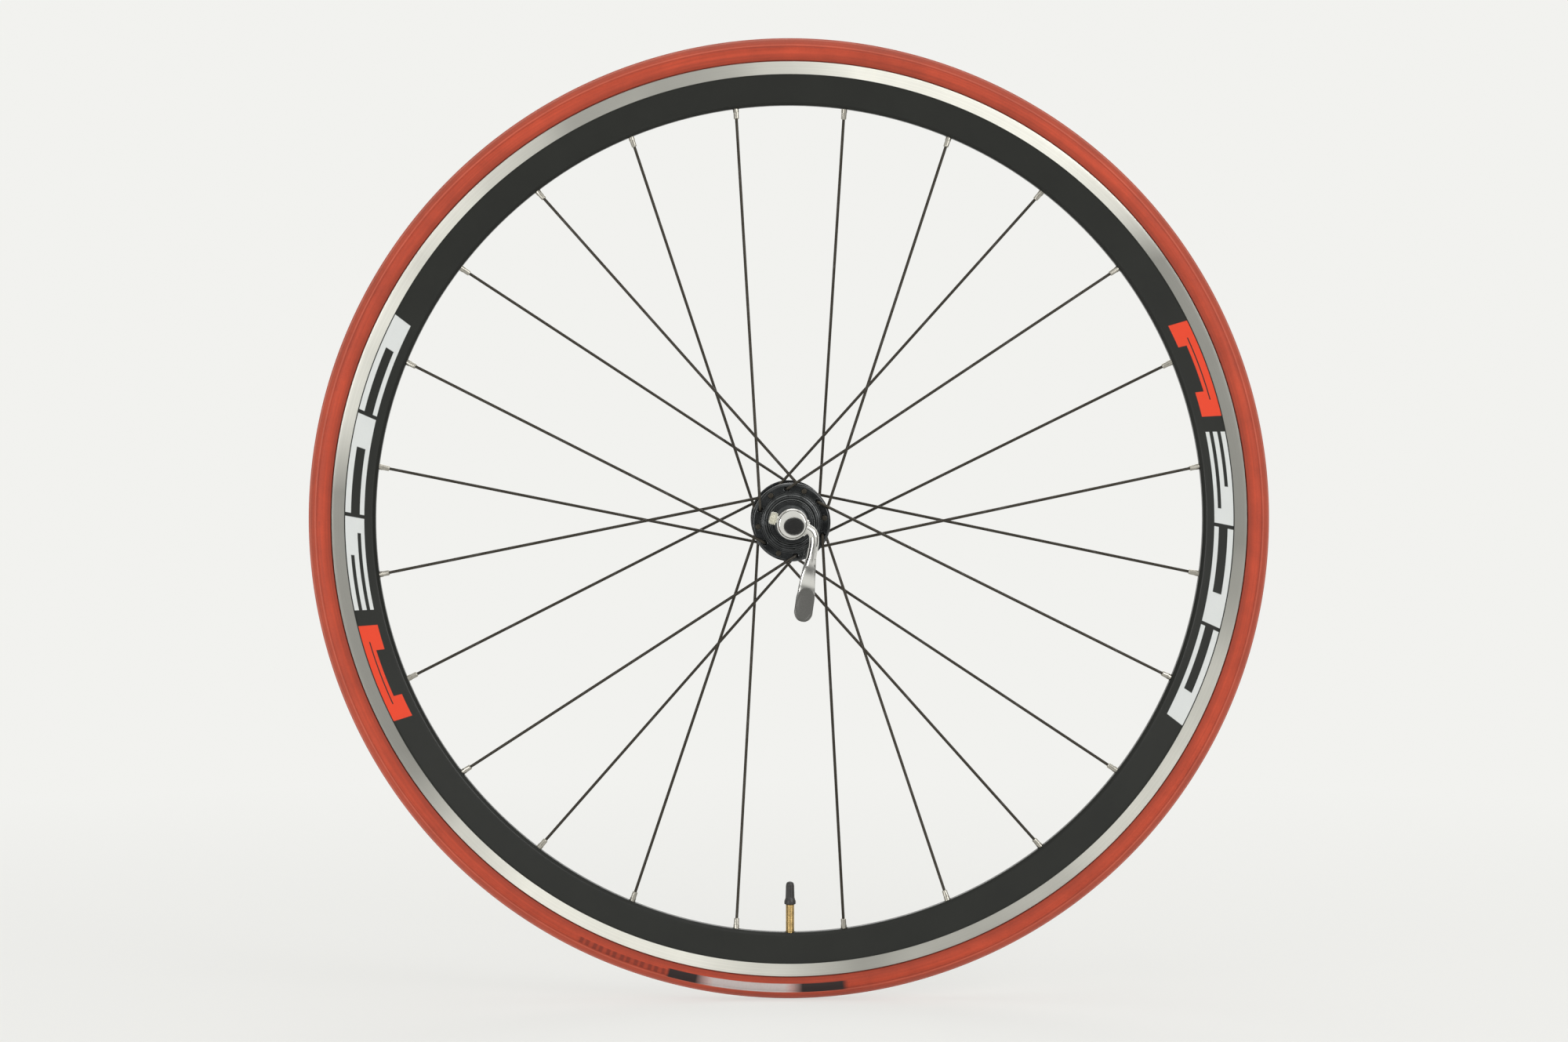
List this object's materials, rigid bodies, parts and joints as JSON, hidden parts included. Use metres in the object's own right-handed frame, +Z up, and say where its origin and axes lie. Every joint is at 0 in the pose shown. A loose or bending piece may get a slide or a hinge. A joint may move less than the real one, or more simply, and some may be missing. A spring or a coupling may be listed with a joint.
{
  "type": "quick release bicycle front wheel",
  "caption": "Road bicycle front wheel with clincher tyre, deep rim, laced spokes, cup-and-cone hub and a cam skewer that clamps it in the fork.",
  "frame": {"origin": "the centre of the wheel, where the middle plane of the rim meets the axle axis, midway between the two fork ends", "axes": "+Y along the axle from the lever to the nut, +Z up with the valve at the bottom, +X across the wheel"},
  "size_m": [0.667, 0.1445, 0.667],
  "materials": {
    "tyre_rubber": "matte",
    "tube_rubber": "satin",
    "rim_tape_blue": "satin",
    "rim_black": "gloss",
    "spoke_black": "satin",
    "hub_black": "polished",
    "bearing_steel": "polished",
    "axle_steel": "satin",
    "polished_chrome": "polished",
    "bright_nickel": "satin",
    "valve_brass": "satin",
    "black_plastic": "satin",
    "clear_plastic": "polished",
    "nut_alloy": "satin"
  },
  "bodies": {
    "axle_set": {"axle": "axle_steel", "cone_front": "axle_steel", "cone_rear": "axle_steel", "lock_washer_front": "axle_steel", "lock_washer_rear": "axle_steel", "locknut_front": "axle_steel", "locknut_rear": "axle_steel"},
    "wheel": {"tyre": "tyre_rubber", "inner_tube": "tube_rubber", "rim_tape": "rim_tape_blue", "rim": "rim_black", "valve_stem": "valve_brass", "hub_shell": "hub_black", "bearing_cup_front": "bearing_steel", "bearing_cup_rear": "bearing_steel", "dust_cap_front": "hub_black", "dust_cap_rear": "hub_black", "spoke_front_01": "spoke_black", "spoke_front_02": "spoke_black", "spoke_front_03": "spoke_black", "spoke_front_04": "spoke_black", "spoke_front_05": "spoke_black", "spoke_front_06": "spoke_black", "spoke_front_07": "spoke_black", "spoke_front_08": "spoke_black", "spoke_front_09": "spoke_black", "spoke_front_10": "spoke_black", "spoke_front_11": "spoke_black", "spoke_front_12": "spoke_black", "spoke_rear_01": "spoke_black", "spoke_rear_02": "spoke_black", "spoke_rear_03": "spoke_black", "spoke_rear_04": "spoke_black", "spoke_rear_05": "spoke_black", "spoke_rear_06": "spoke_black", "spoke_rear_07": "spoke_black", "spoke_rear_08": "spoke_black", "spoke_rear_09": "spoke_black", "spoke_rear_10": "spoke_black", "spoke_rear_11": "spoke_black", "spoke_rear_12": "spoke_black"},
    "front_balls": {"ball_ring_front": "bearing_steel"},
    "rear_balls": {"ball_ring_rear": "bearing_steel"},
    "skewer": {"skewer_rod": "axle_steel", "spring_front": "bright_nickel", "spring_rear": "bright_nickel"},
    "cam_housing": {"lever_housing": "polished_chrome"},
    "lever": {"cam_lever": "polished_chrome", "cam_end_cap": "clear_plastic"},
    "nut_slider": {"nut_face_ring": "bright_nickel"},
    "nut": {"skewer_nut": "nut_alloy", "nut_lock_insert": "black_plastic"},
    "valve_cap": {"valve_cap": "black_plastic"},
    "valve_pin": {"valve_pin": "valve_brass"},
    "valve_nut": {"valve_nut": "valve_brass"}
  },
  "joints": [
    {"name": "wheel_spin", "type": "hinge", "parent": "axle_set", "child": "wheel", "pos_m": [0, 0, 0], "axis": [0, 1, 0], "continuous": true},
    {"name": "front_balls_roll", "type": "hinge", "parent": "axle_set", "child": "front_balls", "pos_m": [0, -0.032, 0], "axis": [0, 1, 0], "continuous": true},
    {"name": "rear_balls_roll", "type": "hinge", "parent": "axle_set", "child": "rear_balls", "pos_m": [0, 0.032, 0], "axis": [0, 1, 0], "continuous": true},
    {"name": "skewer_turn", "type": "hinge", "parent": "axle_set", "child": "skewer", "pos_m": [0, 0, 0], "axis": [0, 1, 0], "continuous": true},
    {"name": "housing_slide", "type": "slide", "parent": "skewer", "child": "cam_housing", "axis": [0, -1, 0], "range_m": [0, 0.002], "deforming": ["spring_front"]},
    {"name": "lever_pivot", "type": "hinge", "parent": "cam_housing", "child": "lever", "pos_m": [0, -0.066, 0], "axis": [-0.9563, 0, 0.2924], "range_deg": [0, 180]},
    {"name": "nut_travel", "type": "slide", "parent": "skewer", "child": "nut_slider", "axis": [0, 1, 0], "range_m": [0, 0.0032], "deforming": ["spring_rear"]},
    {"name": "nut_turn", "type": "hinge", "parent": "nut_slider", "child": "nut", "pos_m": [0, 0.062, 0], "axis": [0, 1, 0], "range_deg": [0, 1440]},
    {"name": "valve_cap_lift", "type": "slide", "parent": "wheel", "child": "valve_cap", "axis": [0, 0, 1], "range_m": [0, 0.02]},
    {"name": "valve_pin_press", "type": "slide", "parent": "wheel", "child": "valve_pin", "axis": [0, 0, -1], "range_m": [0, 0.0012], "stiffness_N_per_m": 50},
    {"name": "valve_nut_turn", "type": "hinge", "parent": "valve_pin", "child": "valve_nut", "pos_m": [0, 0, -0.26], "axis": [0, 0, 1], "range_deg": [0, 360]}
  ],
  "couplings": [
    {"joint": "front_balls_roll", "follows": "wheel_spin", "ratio": 0.5915},
    {"joint": "rear_balls_roll", "follows": "wheel_spin", "ratio": 0.5915},
    {"joint": "housing_slide", "follows": "lever_pivot", "m_per_rad": 0.0006366},
    {"joint": "nut_turn", "follows": "nut_travel", "rad_per_m": 7854}
  ]
}
